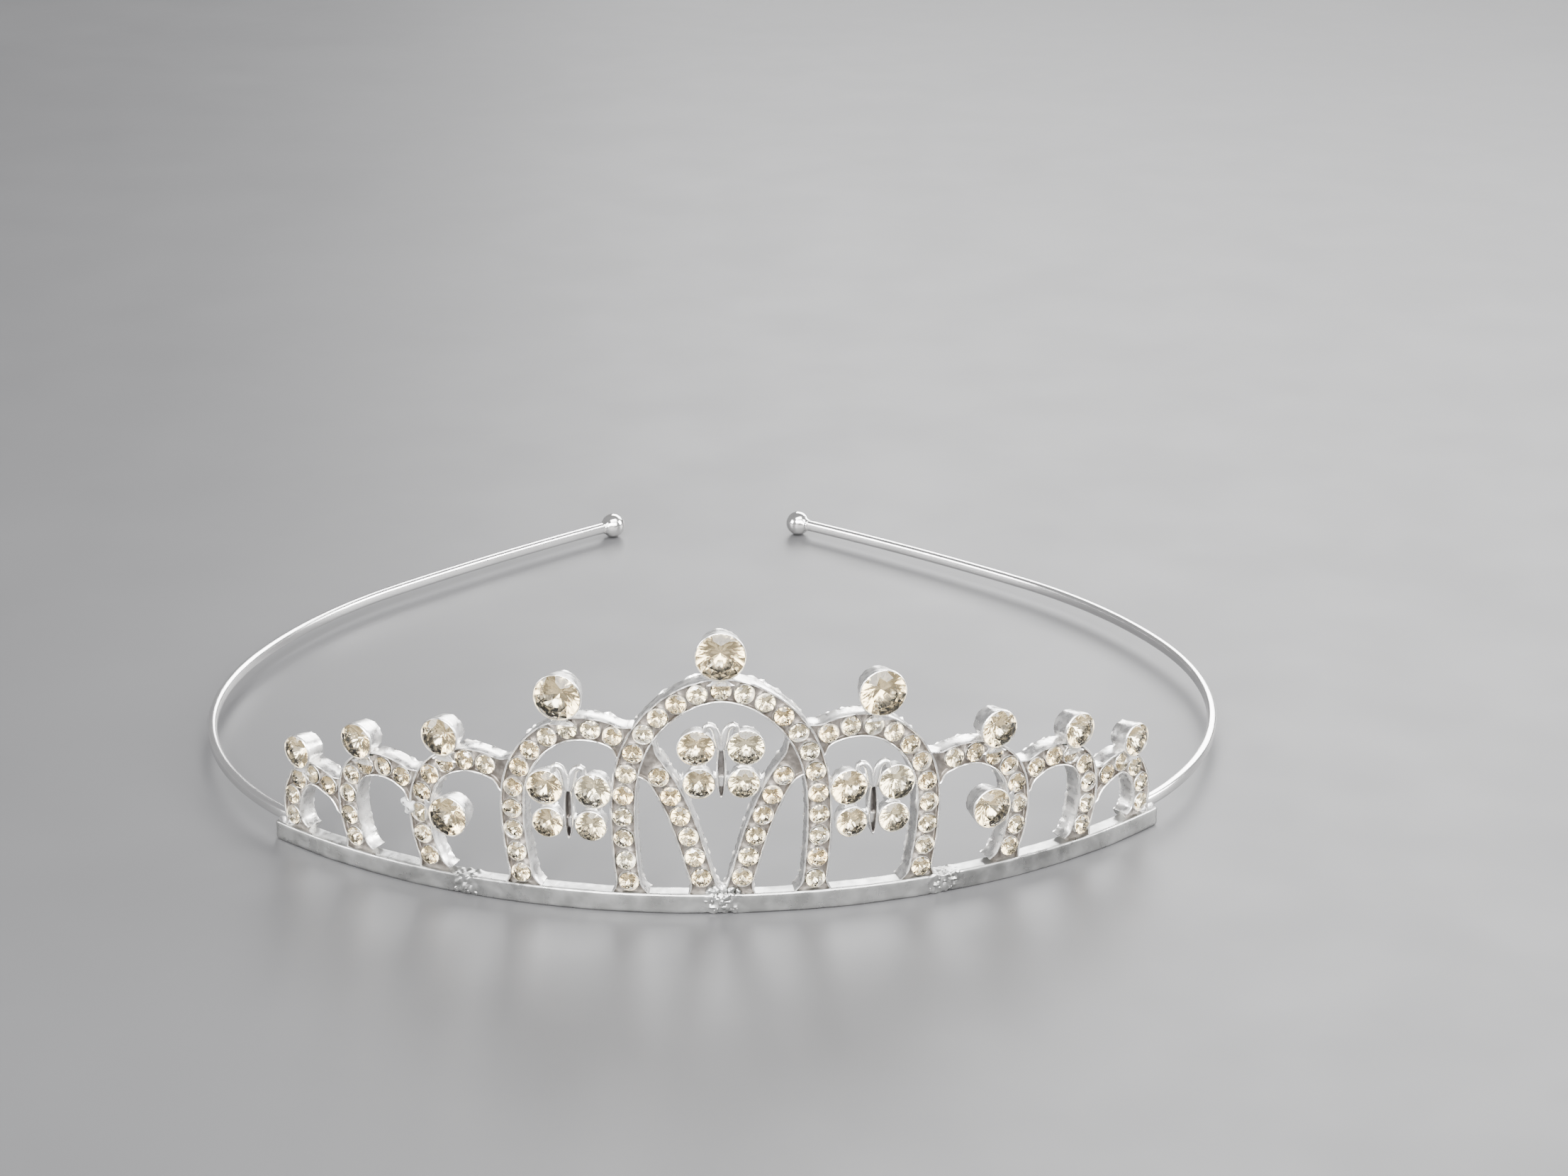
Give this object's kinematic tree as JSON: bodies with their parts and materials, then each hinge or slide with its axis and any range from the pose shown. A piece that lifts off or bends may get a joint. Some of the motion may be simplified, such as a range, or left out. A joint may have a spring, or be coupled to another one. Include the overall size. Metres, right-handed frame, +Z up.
{
  "type": "bridal tiara",
  "caption": "Tiara with rows of round stones on crossing arches, butterflies within them, a curved base bar, and a springy wire headband that ends in balls.",
  "frame": {"origin": "middle of the base bar's underside, under the centre arch", "axes": "+Z up, +Y to the back of the head, +X to the viewer's right as the front is seen"},
  "size_m": [0.1338, 0.1303, 0.0364],
  "materials": {
    "cast_silver": "silver-plated casting, polished rims with a slightly rough cast back",
    "bar_silver": "silver-plated casting, satin front with solder marks",
    "headband_wire": "polished silver-plated wire",
    "ball_silver": "polished silver-plated ball",
    "solder": "dull soft solder",
    "crystal": "foil-backed cut glass with a light champagne tint",
    "small_crystal": "small foil-backed cut glass, light champagne"
  },
  "bodies": {
    "crown": {"base_bar": "bar_silver", "centre_arch": "cast_silver", "centre_arch_stones": "small_crystal", "centre_butterfly": "cast_silver", "centre_butterfly_stones": "crystal", "centre_top_cup": "cast_silver", "centre_top_stone": "crystal", "left_butterfly": "cast_silver", "left_butterfly_stones": "crystal", "left_fourth_arch": "cast_silver", "left_fourth_arch_stones": "small_crystal", "left_fourth_top_cup": "cast_silver", "left_fourth_top_stone": "crystal", "left_inner_leg": "cast_silver", "left_inner_leg_stones": "small_crystal", "left_main_arch": "cast_silver", "left_main_arch_stones": "small_crystal", "left_main_top_cup": "cast_silver", "left_main_top_stone": "crystal", "left_second_arch": "cast_silver", "left_second_arch_stones": "small_crystal", "left_second_top_cup": "cast_silver", "left_second_top_stone": "crystal", "left_side_cup": "cast_silver", "left_side_stone": "crystal", "left_solder": "solder", "left_third_arch": "cast_silver", "left_third_arch_stones": "small_crystal", "left_third_top_cup": "cast_silver", "left_third_top_stone": "crystal", "left_wire_end": "headband_wire", "right_butterfly": "cast_silver", "right_butterfly_stones": "crystal", "right_fourth_arch": "cast_silver", "right_fourth_arch_stones": "small_crystal", "right_fourth_top_cup": "cast_silver", "right_fourth_top_stone": "crystal", "right_inner_leg": "cast_silver", "right_inner_leg_stones": "small_crystal", "right_main_arch": "cast_silver", "right_main_arch_stones": "small_crystal", "right_main_top_cup": "cast_silver", "right_main_top_stone": "crystal", "right_second_arch": "cast_silver", "right_second_arch_stones": "small_crystal", "right_second_top_cup": "cast_silver", "right_second_top_stone": "crystal", "right_side_cup": "cast_silver", "right_side_stone": "crystal", "right_solder": "solder", "right_third_arch": "cast_silver", "right_third_arch_stones": "small_crystal", "right_third_top_cup": "cast_silver", "right_third_top_stone": "crystal", "right_wire_end": "headband_wire"},
    "left_arm": {"left_headband_arm": "headband_wire", "left_ball_tip": "ball_silver"},
    "right_arm": {"right_headband_arm": "headband_wire", "right_ball_tip": "ball_silver"}
  },
  "joints": [
    {"name": "left_arm_flex", "type": "hinge", "parent": "crown", "child": "left_arm", "pos_m": [-0.0554, 0.02386, 0.0032], "axis": [0, 0, 1], "range_deg": [-5, 10], "stiffness_Nm_per_rad": 0.6},
    {"name": "right_arm_flex", "type": "hinge", "parent": "crown", "child": "right_arm", "pos_m": [0.0554, 0.02386, 0.0032], "axis": [0, 0, -1], "range_deg": [-5, 10], "stiffness_Nm_per_rad": 0.6}
  ]
}
